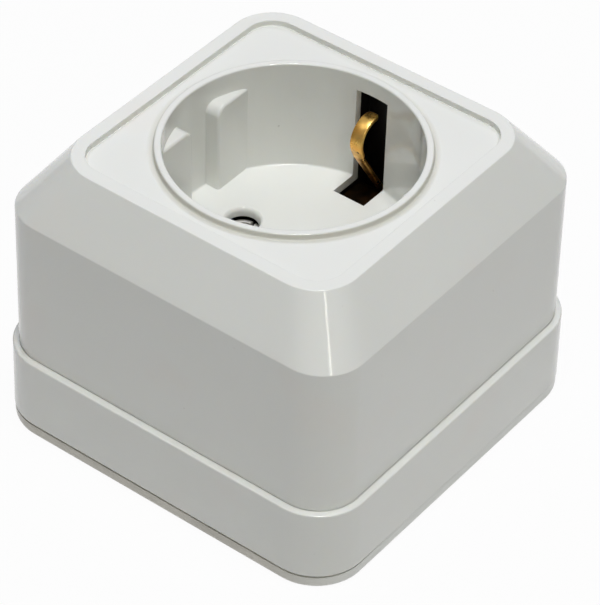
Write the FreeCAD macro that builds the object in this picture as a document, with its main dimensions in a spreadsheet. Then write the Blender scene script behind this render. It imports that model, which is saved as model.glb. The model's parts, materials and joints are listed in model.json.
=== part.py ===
import FreeCAD, Part
import math
import os
import re
import Sketcher

# Surface-mounted socket outlet, millimetres.
# Z points out of the wall, and the origin is the centre of the base plate's back.
# The line and neutral pins lie along X, and the two earth clips along Y.

doc = FreeCAD.newDocument("surface_socket")
sheet = doc.addObject("Spreadsheet::Sheet", "Sizes")

SIZES = {
    # outside of the hood
    "skirt_half": 33.02,
    "skirt_corner": 8.6,
    "ledge_level": 14.94,
    "ledge_width": 1.14,
    "hood_corner": 7.3,
    "shoulder_level": 41.6,
    "slope_reach": 6.26,
    "rim_level": 50.25,
    "rim_width": 2.26,
    "panel_corner": 4.6,
    "panel_sink": 0.85,
    "wall": 2.0,
    # plug well
    "mouth_radius": 19.75,
    "well_level": 30.7,
    "well_wall": 1.5,
    "floor_wall": 1.5,
    "collar_width": 1.15,
    "pin_pitch": 19.0,
    "pin_hole_radius": 2.76,
    "window_half": 2.95,
    "window_top": 47.4,
    "slot_start": 14.4,
    "rib_face": 17.14,
    "rib_gap_half": 3.25,
    "rib_top": 46.1,
    "rib_rise": 1.3,
    "knockout_half": 6.0,
    "knockout_top": 13.0,
    "knockout_skin": 0.8,
    # wall plate
    "plate_inset": 0.62,
    "plate_corner": 7.75,
    "plate_wall": 2.4,
    "skirt_gap": 0.3,
    "lip_gap": 0.35,
    "lip_wall": 1.4,
    "lip_reach": 21.0,
    "lip_height": 6.0,
    "slot_inset": 9.4,
    "slot_length": 8.0,
    "slot_radius": 2.25,
    "cable_hole_radius": 8.0,
    "post_inset": 4.85,
    "post_half": 3.2,
    "post_top": 7.0,
    # contact carrier and its back plate
    "back_sheet": 1.0,
    "back_side_half": 10.0,
    "carrier_radius": 25.5,
    "carrier_flat": 21.5,
    "groove_level": 27.2,
    "groove_gap": 0.7,
    "shelf_level": 20.0,
    "guard_inner": 4.5,
    "guard_wall": 1.2,
    "guard_back": 25.2,
    "guard_top": 43.5,
    "screw_room_gap": 0.7,
    # pin sleeves
    "jaw_bore": 2.35,
    "jaw_sheet": 0.65,
    "jaw_top": 28.2,
    "jaw_foot": 10.4,
    "jaw_split": 0.6,
    "jaw_foot_gap": 0.1,
    "jaw_room": 1.4,
    "tab_sheet": 0.9,
    "tab_half": 3.5,
    "spring_sheet": 0.5,
    "spring_gap": 0.3,
    "spring_level": 22.0,
    "spring_height": 3.4,
    "spring_mouth_half": 1.6,
    # terminals
    "terminal_inset": 6.0,
    "earth_terminal_inset": 10.9,
    "earth_terminal_y": 13.8,
    "terminal_shank": 1.72,
    "terminal_head": 3.1,
    "terminal_head_height": 2.2,
    "terminal_shank_length": 7.5,
    "washer_half": 3.55,
    "washer_sheet": 1.2,
    "washer_groove": 0.35,
    "thread_gap": 0.06,
    "screw_slot_width": 0.9,
    "screw_slot_depth": 1.0,
    # earth bridge and clips
    "strap_half": 3.0,
    "strap_sheet": 1.0,
    "strap_bend": 1.4,
    "strap_gap": 0.05,
    "rivet_level": 20.5,
    "rivet_half": 1.1,
    "rivet_head": 1.9,
    "rivet_head_height": 0.8,
    "rivet_fit": 0.1,
    "rivet_sink": 0.15,
    "clip_sheet": 0.7,
    "clip_gap": 0.2,
    "clip_foot": 2.2,
    "clip_bend_level": 27.2,
    "clip_bend_round": 2.0,
    "clip_knee_reach": 16.8,
    "clip_knee_level": 37.4,
    "clip_knee_round": 1.5,
    "clip_nose_reach": 14.5,
    "clip_hook_round": 3.3,
    "clip_tip_reach": 20.6,
    "clip_tip_level": 43.6,
    "clip_root_half": 2.8,
    "clip_leg_half": 0.85,
    "clip_hook_half": 1.12,
    # screws
    "cover_shank": 1.74,
    "cover_head": 3.3,
    "cover_screw_length": 9.0,
    "cover_screw_sink": 0.1,
    "captive_radius": 3.0,
    "captive_sheet": 0.6,
    "captive_gap": 0.15,
    "holder_shank": 1.4,
    "holder_head": 3.0,
    "holder_head_height": 2.0,
    "holder_grip": 5.0,
    "holder_bite": 4.0,
    "pilot_gap": 0.05,
    "clearance_gap": 0.3,
}

for row, (alias, number) in enumerate(SIZES.items(), start=1):
    sheet.set(f"A{row}", alias)
    sheet.set(f"B{row}", str(number))
    sheet.setAlias(f"B{row}", alias)
doc.recompute()

# Sizes that follow from the others, as formulas of the cells.
DERIVED = {
    "skirt_foot": "plate_wall + skirt_gap",
    "hood_half": "skirt_half - ledge_width",
    "rim_half": "hood_half - slope_reach",
    "slope_run": "slope_reach / (rim_level - shoulder_level)",
    "slope_slant": "sqrt(1 + (slope_run) * (slope_run))",
    "panel_level": "rim_level - panel_sink",
    "panel_under": "panel_level - wall",
    "inner_shoulder": "shoulder_level - wall * (slope_slant - 1) / (slope_run)",
    "inner_top_half": "hood_half - (panel_under - shoulder_level) * (slope_run) - wall * slope_slant",
    "inner_step": "ledge_level - wall / 2",
    "tube_radius": "mouth_radius + well_wall",
    "collar_radius": "mouth_radius + collar_width",
    "floor_under": "well_level - floor_wall",
    "pin_reach": "pin_pitch / 2",
    "post_reach": "(carrier_radius - post_inset) / sqrt(2)",
    "terminal_reach": "carrier_radius - terminal_inset",
    "earth_terminal_x": "carrier_radius - earth_terminal_inset",
    "tab_end": "terminal_reach + tab_half",
    "plate_half": "skirt_half - plate_inset",
    "slot_reach": "plate_half - slot_inset",
    "lip_half": "skirt_half - wall - lip_gap",
    "carrier_foot": "post_top + back_sheet",
    "groove_half": "strap_half + groove_gap",
    "jaw_radius": "jaw_bore + jaw_sheet",
    "jaw_room_radius": "jaw_radius + jaw_room",
    "washer_room_half": "washer_half + groove_gap",
    "drop_half": "terminal_shank + clearance_gap * 2",
    "holder_room": "holder_head + screw_room_gap",
    "holder_seat": "carrier_foot + holder_grip",
    "strap_middle": "carrier_flat + strap_gap + strap_sheet / 2",
    "strap_face": "strap_middle + strap_sheet / 2",
    "clip_root_reach": "strap_face + clip_gap + clip_sheet / 2",
    "clip_tip_round": "clip_hook_half - clip_hook_half / 20",
    "strap_top": "groove_level + strap_sheet",
    "washer_foot": "shelf_level + tab_sheet",
    "washer_groove_reach": "washer_half - 2 * washer_groove",
    "earth_washer_foot": "shelf_level + strap_sheet",
}


def bound(formula):
    """Write a formula of size words as a formula of the sheet's cells."""
    pattern = r"[a-z]\w*\b(?!\()"

    def unfold(word):
        name = word.group()
        return f"({DERIVED[name]})" if name in DERIVED else name

    text = formula
    while any(word in DERIVED for word in re.findall(pattern, text)):
        text = re.sub(pattern, unfold, text)
    return re.sub(pattern, lambda w: "Sizes." + w.group(), text)


def size(formula):
    """The number that a formula of size words gives now."""
    return float(sheet.evalExpression(bound(formula)))


# Sketch helpers


pieces = []


def body(label):
    made = doc.addObject("PartDesign::Body", label)
    made.Label = label
    pieces.append(made)
    return made


def sketch(owner, name, plane="XY_Plane", level=None):
    """A sketch on one of the body's own planes, raised to a level along the plane's normal."""
    made = owner.newObject("Sketcher::SketchObject", name)
    base = next(f for f in owner.Origin.OriginFeatures if f.Role == plane)
    made.AttachmentSupport = [(base, "")]
    made.MapMode = "FlatFace"
    if level is not None:
        made.setExpression("AttachmentOffset.Base.z", bound(level))
    return made


def hold(made, kind, *place, formula):
    """Add a dimension to a sketch and bind it to a formula."""
    number = made.addConstraint(Sketcher.Constraint(kind, *place, size(formula)))
    made.setExpression(f"Constraints[{number}]", bound(formula))


def ring(made, points):
    """Close straight lines through corners that are given as pairs of formulas."""
    spots = [FreeCAD.Vector(size(x), size(y), 0) for x, y in points]
    first = made.GeometryCount
    count = len(spots)
    for i in range(count):
        made.addGeometry(Part.LineSegment(spots[i], spots[(i + 1) % count]))
    for i in range(count):
        follower = first + (i + 1) % count
        made.addConstraint(Sketcher.Constraint("Coincident", first + i, 2, follower, 1))
    for i, (x, y) in enumerate(points):
        hold(made, "DistanceX", -1, 1, first + i, 1, formula=x)
        hold(made, "DistanceY", -1, 1, first + i, 1, formula=y)


def box_ring(made, x_low, x_high, y_low, y_high):
    ring(made, [(x_low, y_low), (x_high, y_low), (x_high, y_high), (x_low, y_high)])


def circle(made, x, y, radius):
    spot = FreeCAD.Vector(size(x), size(y), 0)
    index = made.addGeometry(Part.Circle(spot, FreeCAD.Vector(0, 0, 1), size(radius)))
    hold(made, "Radius", index, formula=radius)
    hold(made, "DistanceX", -1, 1, index, 3, formula=x)
    hold(made, "DistanceY", -1, 1, index, 3, formula=y)


def round_square(made, half, corner):
    """A square with round corners, centred on the origin."""
    reach = size(half)
    turn = size(corner)
    first = made.GeometryCount
    inner = reach - turn
    for quarter in range(4):
        angle = quarter * math.pi / 2
        axis_u = FreeCAD.Vector(math.cos(angle), math.sin(angle), 0)
        axis_v = FreeCAD.Vector(-math.sin(angle), math.cos(angle), 0)
        middle = axis_u * inner + axis_v * inner
        made.addGeometry(Part.LineSegment(axis_u * reach - axis_v * inner, axis_u * reach + axis_v * inner))
        ring_circle = Part.Circle(middle, FreeCAD.Vector(0, 0, 1), turn)
        made.addGeometry(Part.ArcOfCircle(ring_circle, angle, angle + math.pi / 2))
    for quarter in range(4):
        line = first + 2 * quarter
        arc = line + 1
        after = first + (2 * quarter + 2) % 8
        made.addConstraint(Sketcher.Constraint("Tangent", line, 2, arc, 1))
        made.addConstraint(Sketcher.Constraint("Tangent", arc, 2, after, 1))
        sign = "" if quarter in (0, 1) else "-"
        across = "DistanceX" if quarter in (0, 2) else "DistanceY"
        hold(made, across, -1, 1, line, 1, formula=f"{sign}({half})")
        hold(made, "Radius", arc, formula=corner)


def pad(owner, made, length, name, reverse=False):
    feature = owner.newObject("PartDesign::Pad", name)
    feature.Profile = made
    feature.setExpression("Length", bound(length))
    feature.Reversed = reverse
    made.Visibility = False
    return feature


def pocket(owner, made, depth, name, reverse=False):
    """Cut a sketch downwards, against its normal."""
    feature = owner.newObject("PartDesign::Pocket", name)
    feature.Profile = made
    feature.setExpression("Length", bound(depth))
    feature.Reversed = reverse
    made.Visibility = False
    return feature


def sloped_block(low, low_half, high, high_half, corner):
    """A solid between two squares with equal round corners: four flat slopes and four slanted corners."""
    rims = []
    for level, half in ((size(low), size(low_half)), (size(high), size(high_half))):
        inner = half - size(corner)
        rim = []
        for quarter in range(4):
            angle = quarter * math.pi / 2
            axis_u = FreeCAD.Vector(math.cos(angle), math.sin(angle), 0)
            axis_v = FreeCAD.Vector(-math.sin(angle), math.cos(angle), 0)
            lift = FreeCAD.Vector(0, 0, level)
            side = axis_u * half + lift
            rim.append(Part.makeLine(side - axis_v * inner, side + axis_v * inner))
            bend = Part.Circle((axis_u + axis_v) * inner + lift, FreeCAD.Vector(0, 0, 1), size(corner))
            rim.append(Part.ArcOfCircle(bend, angle, angle + math.pi / 2).toShape())
        rims.append(rim)
    faces = [Part.Face(Part.Wire(rim)) for rim in rims]
    for foot, top in zip(*rims):
        start, end = (foot.valueAt(foot.ParameterRange[i]) for i in (0, 1))
        far_start, far_end = (top.valueAt(top.ParameterRange[i]) for i in (0, 1))
        if isinstance(foot.Curve, Part.Circle):
            faces.append(foot.extrude(far_start - start))
        else:
            faces.append(Part.Face(Part.makePolygon([start, end, far_end, far_start, start])))
    shell = Part.makeShell(faces)
    shell.sewShape()
    return Part.makeSolid(shell)


def spin(owner, kind, made, name):
    """Turn a sketch on the XZ plane once round the Z axis."""
    feature = owner.newObject(kind, name)
    feature.Profile = made
    feature.ReferenceAxis = (made, ["V_Axis"])
    feature.Angle = 360
    return feature


# Cover: hood, skirt and plug well in one moulding


def make_cover_form():
    """Skirt, hood and sloped shoulders at one wall thickness, still closed at the top."""
    form = doc.addObject("PartDesign::Body", "cover_walls")
    skirt = sketch(form, "skirt_outline", level="skirt_foot")
    round_square(skirt, "skirt_half", "skirt_corner")
    pad(form, skirt, "ledge_level - skirt_foot", "skirt")
    hood = sketch(form, "hood_outline", level="ledge_level")
    round_square(hood, "hood_half", "hood_corner")
    pad(form, hood, "shoulder_level - ledge_level", "hood")
    skirt_room = sketch(form, "skirt_room_outline", level="skirt_foot")
    round_square(skirt_room, "skirt_half - wall", "skirt_corner - wall")
    pocket(form, skirt_room, "inner_step - skirt_foot", "skirt_room", reverse=True)
    hood_room = sketch(form, "hood_room_outline", level="inner_step")
    round_square(hood_room, "hood_half - wall", "hood_corner - wall")
    pocket(form, hood_room, "inner_shoulder - inner_step", "hood_room", reverse=True)
    doc.recompute()
    shoulder = sloped_block("shoulder_level", "hood_half", "rim_level", "rim_half", "hood_corner")
    room = sloped_block("inner_shoulder", "hood_half - wall", "panel_under", "inner_top_half",
                        "hood_corner - wall")
    shaped = doc.addObject("Part::Feature", "cover_form")
    shaped.Shape = single(form.Shape.fuse(shoulder).cut(room))
    return shaped


def make_cover():
    form = make_cover_form()
    cover = body("cover")
    cover.BaseFeature = form
    doc.recompute()

    # The tube of the plug well stands down from the top panel.
    tube = sketch(cover, "tube_outline", level="floor_under")
    circle(tube, "0", "0", "tube_radius")
    pad(cover, tube, "panel_level - floor_under", "well_tube")

    # The top panel is sunk between the raised rim and the round collar.
    panel = sketch(cover, "panel_outline", level="rim_level")
    round_square(panel, "rim_half - rim_width", "panel_corner")
    pocket(cover, panel, "panel_sink", "panel_recess")
    collar = sketch(cover, "collar_outline", level="panel_level")
    circle(collar, "0", "0", "collar_radius")
    pad(cover, collar, "panel_sink", "collar")
    well = sketch(cover, "well_outline", level="rim_level")
    circle(well, "0", "0", "mouth_radius")
    pocket(cover, well, "rim_level - well_level", "well")

    # Two pairs of guide ribs with sloped tops stand on the X sides of the well.
    trim_reach = "tube_radius + tube_radius / 4"
    for side in ("", "-"):
        for end in ("", "-"):
            tag = {"": "right", "-": "left"}[side] + {"": "_upper", "-": "_lower"}[end]
            start = "rib_gap_half" if end else "-(sqrt(mouth_radius * mouth_radius - rib_face * rib_face))"
            rib = sketch(cover, "rib_profile_" + tag, "XZ_Plane", level=start)
            face = f"{side}(rib_face)"
            back = f"{side}(mouth_radius + well_wall / 3)"
            ring(rib, [(face, "floor_under"), (back, "floor_under"),
                       (back, "rib_top + rib_rise"), (face, "rib_top")])
            width = "sqrt(mouth_radius * mouth_radius - rib_face * rib_face) - rib_gap_half"
            pad(cover, rib, width, "rib_" + tag)
    trim = sketch(cover, "rib_trim_profile", "XZ_Plane")
    ring(trim, [("tube_radius", "floor_under"), (trim_reach, "floor_under"),
                (trim_reach, "panel_under"), ("tube_radius", "panel_under")])
    spin(cover, "PartDesign::Groove", trim, "rib_trim")

    # Each earth window runs from the wall of the well into a slot in its floor.
    for side, tag in (("", "upper"), ("-", "lower")):
        window = sketch(cover, "window_outline_" + tag, level="window_top")
        box_ring(window, "-window_half", "window_half", f"{side}(slot_start)", f"{side}(tube_radius + wall)")
        pocket(cover, window, "window_top - floor_under + wall", "window_" + tag)

    # Pin holes, and a cone for the head of the cover screw.
    holes = sketch(cover, "pin_hole_outline", level="well_level")
    for side in ("", "-"):
        circle(holes, f"{side}(pin_reach)", "0", "pin_hole_radius")
    pocket(cover, holes, "floor_wall", "pin_holes")
    cone = sketch(cover, "screw_hole_profile", "XZ_Plane")
    ring(cone, [("0", "floor_under - wall"), ("cover_shank + clearance_gap", "floor_under - wall"),
                ("cover_shank + clearance_gap", "well_level - cover_head + cover_shank"),
                ("cover_head + clearance_gap", "well_level"),
                ("cover_head + clearance_gap", "well_level + wall"), ("0", "well_level + wall")])
    spin(cover, "PartDesign::Groove", cone, "screw_hole")

    # A thinned patch in one side of the skirt is broken out for a surface cable.
    patch = sketch(cover, "knockout_outline", level="skirt_foot")
    box_ring(patch, "-knockout_half", "knockout_half",
             "skirt_half - wall - wall", "skirt_half - knockout_skin")
    pocket(cover, patch, "knockout_top - skirt_foot", "knockout", reverse=True)
    return cover


# Wall plate


def make_base_plate():
    plate = body("base_plate")
    outline = sketch(plate, "plate_outline")
    round_square(outline, "plate_half", "plate_corner")
    pad(plate, outline, "plate_wall", "plate")

    # Upright ribs along the sides centre the hood, with a gap behind its knock-out.
    lip = sketch(plate, "lip_outline", level="plate_wall")
    for side in ("", "-"):
        box_ring(lip, f"{side}(lip_half - lip_wall)", f"{side}(lip_half)", "-lip_reach", "lip_reach")
        box_ring(lip, f"{side}(knockout_half)", f"{side}(lip_reach)", "lip_half - lip_wall", "lip_half")
    box_ring(lip, "-lip_reach", "lip_reach", "-(lip_half)", "-(lip_half - lip_wall)")
    pad(plate, lip, "lip_height", "lip")

    # The carrier stands on four posts, and two of them take its screws.
    posts = sketch(plate, "post_outline", level="plate_wall")
    for side in ("", "-"):
        for end in ("", "-"):
            box_ring(posts, f"{side}(post_reach) - post_half", f"{side}(post_reach) + post_half",
                     f"{end}(post_reach) - post_half", f"{end}(post_reach) + post_half")
    pad(plate, posts, "post_top - plate_wall", "posts")

    pilots = sketch(plate, "pilot_outline", level="post_top")
    for side in ("", "-"):
        circle(pilots, f"{side}(post_reach)", f"{side}(post_reach)", "holder_shank + pilot_gap")
    pocket(plate, pilots, "holder_bite + clearance_gap", "pilots")

    cable = sketch(plate, "cable_hole_outline", level="plate_wall")
    circle(cable, "0", "0", "cable_hole_radius")
    pocket(plate, cable, "plate_wall", "cable_hole")

    # Four levelling slots run along X, one in each corner.
    for number in range(4):
        sign_x = "" if number in (0, 3) else "-"
        sign_y = "" if number in (0, 1) else "-"
        slot = sketch(plate, f"slot_outline_{number}", level="plate_wall")
        x_middle = f"{sign_x}(slot_reach)"
        y_middle = f"{sign_y}(slot_reach)"
        half = "(slot_length / 2 - slot_radius)"
        box_ring(slot, f"{x_middle} - {half}", f"{x_middle} + {half}",
                 f"{y_middle} - slot_radius", f"{y_middle} + slot_radius")
        pocket(plate, slot, "plate_wall", f"slot_{number}")
        for end in ("-", "+"):
            tag = {"-": "start", "+": "end"}[end]
            round_end = sketch(plate, f"slot_{tag}_outline_{number}", level="plate_wall")
            circle(round_end, f"{x_middle} {end} {half}", y_middle, "slot_radius")
            pocket(plate, round_end, "plate_wall", f"slot_{tag}_{number}")
    return plate


# Contact carrier and the plate that closes its back


def flatted_disc(owner, name, level, height):
    """A disc with two flats across Y."""
    disc = sketch(owner, name + "_disc_outline", level=level)
    circle(disc, "0", "0", "carrier_radius")
    pad(owner, disc, height, name + "_disc")
    for side, tag in (("", "upper"), ("-", "lower")):
        flat = sketch(owner, f"{name}_flat_outline_{tag}", level=level)
        box_ring(flat, "-carrier_radius", "carrier_radius",
                 f"{side}(carrier_flat)", f"{side}(carrier_radius + wall)")
        pocket(owner, flat, height, f"{name}_flat_{tag}", reverse=True)


def make_carrier():
    carrier = body("contact_carrier")
    height = "floor_under - carrier_foot"
    flatted_disc(carrier, "carrier", "carrier_foot", height)

    # A guard stands round each earth clip.
    for side, tag in (("", "upper"), ("-", "lower")):
        guard = sketch(carrier, "guard_outline_" + tag, level="carrier_foot")
        inner = "guard_inner"
        outer = "guard_inner + guard_wall"
        ring(guard, [
            (f"-({outer})", f"{side}(carrier_flat)"), (f"-({outer})", f"{side}(guard_back + guard_wall)"),
            (f"{outer}", f"{side}(guard_back + guard_wall)"), (f"{outer}", f"{side}(carrier_flat)"),
            (f"{inner}", f"{side}(carrier_flat)"), (f"{inner}", f"{side}(guard_back)"),
            (f"-({inner})", f"{side}(guard_back)"), (f"-({inner})", f"{side}(carrier_flat)"),
        ])
        pad(carrier, guard, "guard_top - carrier_foot", "guard_" + tag)

    # The earth strap lies in a groove across the top.
    groove = sketch(carrier, "groove_outline", level="floor_under")
    box_ring(groove, "-(groove_half)", "groove_half", "-(carrier_flat)", "carrier_flat")
    pocket(carrier, groove, "floor_under - groove_level", "groove")
    for side, tag in (("", "upper"), ("-", "lower")):
        relief = sketch(carrier, "bend_relief_outline_" + tag, level="groove_level")
        box_ring(relief, "-(groove_half)", "groove_half",
                 f"{side}(carrier_flat - strap_bend)", f"{side}(carrier_flat)")
        pocket(carrier, relief, "strap_bend", "bend_relief_" + tag)
    centre = sketch(carrier, "centre_room_outline", level="groove_level")
    box_ring(centre, "-(drop_half)", "drop_half", "-(drop_half)", "drop_half")
    pocket(carrier, centre, "groove_level - shelf_level", "centre_room")

    # Sleeve rooms, and a slot and a shelf for each terminal.
    for side, tag in (("", "neutral"), ("-", "line")):
        room = sketch(carrier, "sleeve_room_outline_" + tag, level="floor_under")
        circle(room, f"{side}(pin_reach)", "0", "jaw_room_radius")
        pocket(carrier, room, height, "sleeve_room_" + tag)
        slot = sketch(carrier, "tab_slot_outline_" + tag, level="floor_under")
        box_ring(slot, f"{side}(pin_reach)", f"{side}(terminal_reach)", "-(tab_half + clearance_gap)",
                 "tab_half + clearance_gap")
        pocket(carrier, slot, "floor_under - shelf_level", "tab_slot_" + tag)
        shelf = sketch(carrier, "shelf_outline_" + tag, level="floor_under")
        box_ring(shelf, f"{side}(terminal_reach - washer_room_half)", f"{side}(carrier_radius + wall)",
                 "-(washer_room_half)", "washer_room_half")
        pocket(carrier, shelf, "floor_under - shelf_level", "shelf_" + tag)
        drop = sketch(carrier, "screw_drop_outline_" + tag, level="shelf_level")
        box_ring(drop, f"{side}(terminal_reach) - drop_half", f"{side}(terminal_reach) + drop_half",
                 "-(drop_half)", "drop_half")
        pocket(carrier, drop, "terminal_shank_length", "screw_drop_" + tag)

    earth_low = "-(earth_terminal_y + washer_room_half)"
    earth_high = "-(earth_terminal_y - washer_room_half)"
    earth_drop = "earth_terminal_x - washer_room_half - strap_sheet - strap_sheet"
    arm = sketch(carrier, "earth_arm_outline", level="floor_under")
    box_ring(arm, "0", "earth_terminal_x", earth_low, earth_high)
    pocket(carrier, arm, "floor_under - groove_level", "earth_arm_groove")
    shelf = sketch(carrier, "shelf_outline_earth", level="floor_under")
    box_ring(shelf, earth_drop, "carrier_radius + wall", earth_low, earth_high)
    pocket(carrier, shelf, "floor_under - shelf_level", "shelf_earth")
    drop = sketch(carrier, "screw_drop_outline_earth", level="shelf_level")
    box_ring(drop, "earth_terminal_x - drop_half", "earth_terminal_x + drop_half",
             "-(earth_terminal_y) - drop_half", "drop_half - earth_terminal_y")
    pocket(carrier, drop, "terminal_shank_length", "screw_drop_earth")

    # Rooms for the two screws that hold the carrier to the wall plate.
    rooms = sketch(carrier, "holder_room_outline", level="floor_under")
    holes = sketch(carrier, "holder_hole_outline", level="holder_seat")
    for side in ("", "-"):
        box_ring(rooms, f"{side}(post_reach) - holder_room", f"{side}(post_reach) + holder_room",
                 f"{side}(post_reach) - holder_room", f"{side}(post_reach) + holder_room")
        circle(holes, f"{side}(post_reach)", f"{side}(post_reach)", "holder_shank + clearance_gap")
    pocket(carrier, rooms, "floor_under - holder_seat", "holder_rooms")
    pocket(carrier, holes, "holder_grip", "holder_holes")

    return carrier


def make_insulating_plate():
    plate = body("insulating_plate")
    outline = sketch(plate, "back_outline", level="post_top")
    tall = "carrier_flat"
    wide = "sqrt(carrier_radius * carrier_radius - back_side_half * back_side_half)"
    corner = "sqrt(carrier_radius * carrier_radius - carrier_flat * carrier_flat)"
    ring(outline, [(wide, "-(back_side_half)"), (wide, "back_side_half"),
                   (corner, tall), (f"-({corner})", tall),
                   (f"-({wide})", "back_side_half"), (f"-({wide})", "-(back_side_half)"),
                   (f"-({corner})", f"-({tall})"), (corner, f"-({tall})")])
    pad(plate, outline, "back_sheet", "back")
    holes = sketch(plate, "back_hole_outline", level="carrier_foot")
    for side in ("", "-"):
        circle(holes, f"{side}(post_reach)", f"{side}(post_reach)", "holder_shank + clearance_gap")
    pocket(plate, holes, "back_sheet", "back_holes")
    return plate


# Sheet-metal pieces, whose outlines are strips bent at round corners


def strip_outline(spots, rounds, thickness):
    """Both sides of a bent strip whose middle line runs through spots in one plane."""
    sides = {1: [], -1: []}
    normal = (spots[1] - spots[0]).cross(spots[-1] - spots[1]).normalize()
    for side, edges in sides.items():
        shift = side * thickness / 2
        heading = (spots[1] - spots[0]).normalize()
        last = spots[0] + normal.cross(heading) * shift
        for spot, after, turn_radius in zip(spots[1:-1], spots[2:], rounds):
            outgoing = (after - spot).normalize()
            turn = heading.getAngle(outgoing)
            left = 1 if heading.cross(outgoing).dot(normal) > 0 else -1
            reach = turn_radius * math.tan(turn / 2)
            start = spot - heading * reach
            end = spot + outgoing * reach
            centre = start + normal.cross(heading) * (left * turn_radius)
            outward = (spot - centre).normalize()
            bend = turn_radius - left * shift
            arc_start = start + normal.cross(heading) * shift
            arc_end = end + normal.cross(outgoing) * shift
            edges.append(Part.LineSegment(last, arc_start).toShape())
            edges.append(Part.Arc(arc_start, centre + outward * bend, arc_end).toShape())
            last = arc_end
            heading = outgoing
        edges.append(Part.LineSegment(last, spots[-1] + normal.cross(heading) * shift).toShape())
    caps = []
    for end in (0, -1):
        tip_a = sides[1][end].Vertexes[end].Point
        tip_b = sides[-1][end].Vertexes[end].Point
        caps.append(Part.LineSegment(tip_a, tip_b).toShape())
    ordered = Part.__sortEdges__(sides[1] + sides[-1] + caps)
    return Part.Face(Part.Wire(ordered))


def strip(spots, rounds, thickness, width_way):
    """A bent strip, as wide as the vector width_way and centred on its middle line's plane."""
    face = strip_outline(spots, rounds, thickness)
    face.translate(width_way * -0.5)
    return face.extrude(width_way)


def solid_piece(label, shape):
    made = doc.addObject("Part::Feature", label)
    made.Label = label
    made.Shape = shape
    pieces.append(made)
    return made


def cylinder(radius, height, x, y, z, way=FreeCAD.Vector(0, 0, 1)):
    return Part.makeCylinder(radius, height, FreeCAD.Vector(x, y, z), way)


def tube(outer, inner, x, low, high):
    """An upright tube whose axis crosses the X axis."""
    return cylinder(outer, high - low, x, 0, low).cut(cylinder(inner, high - low, x, 0, low))


def slab(x_low, x_high, y_low, y_high, z_low, z_high):
    corner = FreeCAD.Vector(x_low, y_low, z_low)
    return Part.makeBox(x_high - x_low, y_high - y_low, z_high - z_low, corner)


def single(shape):
    """The one solid of a boolean result, with its seams removed."""
    return shape.removeSplitter().Solids[0]


def make_jaws(side, pole):
    middle = side * size("pin_reach")
    bore = size("jaw_bore")
    outer = size("jaw_radius")
    foot = size("jaw_foot")
    floor_top = foot + size("jaw_sheet")
    top = size("jaw_top")
    split = size("jaw_split") / 2
    reach = outer * 2
    far_x = sorted([middle + side * split, middle + side * reach])
    far = slab(far_x[0], far_x[1], -reach, reach, foot, top)
    fixed = tube(outer, bore, middle, foot, top).common(far)
    fixed = fixed.fuse(cylinder(outer, size("jaw_sheet"), middle, 0, foot))
    shelf = size("shelf_level")
    tab_x = sorted([middle + side * (bore + size("jaw_sheet") / 2), side * size("tab_end")])
    half = size("tab_half")
    tab = slab(tab_x[0], tab_x[1], -half, half, shelf, shelf + size("tab_sheet"))
    fixed = fixed.fuse(tab)
    thread = size("terminal_shank + thread_gap")
    fixed = fixed.cut(cylinder(thread, size("tab_sheet"), side * size("terminal_reach"), 0, shelf))
    solid_piece("fixed_jaw_" + pole, single(fixed))

    lifted = floor_top + size("jaw_foot_gap")
    near_x = sorted([middle - side * split, middle - side * reach])
    near = slab(near_x[0], near_x[1], -reach, reach, lifted, top)
    sprung = tube(outer, bore, middle, lifted, top)
    solid_piece("sprung_jaw_" + pole, single(sprung.common(near)))

    spring_inner = outer + size("spring_gap")
    spring_outer = spring_inner + size("spring_sheet")
    level = size("spring_level")
    spring_top = level + size("spring_height")
    band = tube(spring_outer, spring_inner, middle, level, spring_top)
    mouth_x = sorted([middle, middle + side * reach])
    mouth_half = size("spring_mouth_half")
    band = band.cut(slab(mouth_x[0], mouth_x[1], -mouth_half, mouth_half, level, spring_top))
    solid_piece("jaw_spring_" + pole, single(band))


def slotted_head(radius, height, x, y, z):
    """A flat-topped screw head with a driver slot."""
    head = cylinder(radius, height, x, y, z)
    half = size("screw_slot_width") / 2
    depth = size("screw_slot_depth")
    return head.cut(slab(x - radius, x + radius, y - half, y + half, z + height - depth, z + height))


def make_terminal(pole, x, y, foot):
    """A clamp washer and its screw on a terminal plate whose top is at foot."""
    half = size("washer_half")
    sheet_height = size("washer_sheet")
    shank = size("terminal_shank")
    groove = size("washer_groove")
    washer = slab(x - half, x + half, y - half, y + half, foot, foot + sheet_height)
    washer = washer.cut(cylinder(size("terminal_shank + thread_gap"), sheet_height, x, y, foot))
    for end in (-1, 1):
        line = y + end * size("washer_groove_reach")
        washer = washer.cut(slab(x - half, x + half, line - groove, line + groove, foot, foot + groove))
    solid_piece("clamp_washer_" + pole, single(washer))
    head_foot = foot + sheet_height
    length = size("terminal_shank_length")
    screw = cylinder(shank, length, x, y, head_foot - length)
    screw = screw.fuse(slotted_head(size("terminal_head"), size("terminal_head_height"), x, y, head_foot))
    solid_piece("terminal_screw_" + pole, single(screw))


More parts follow.
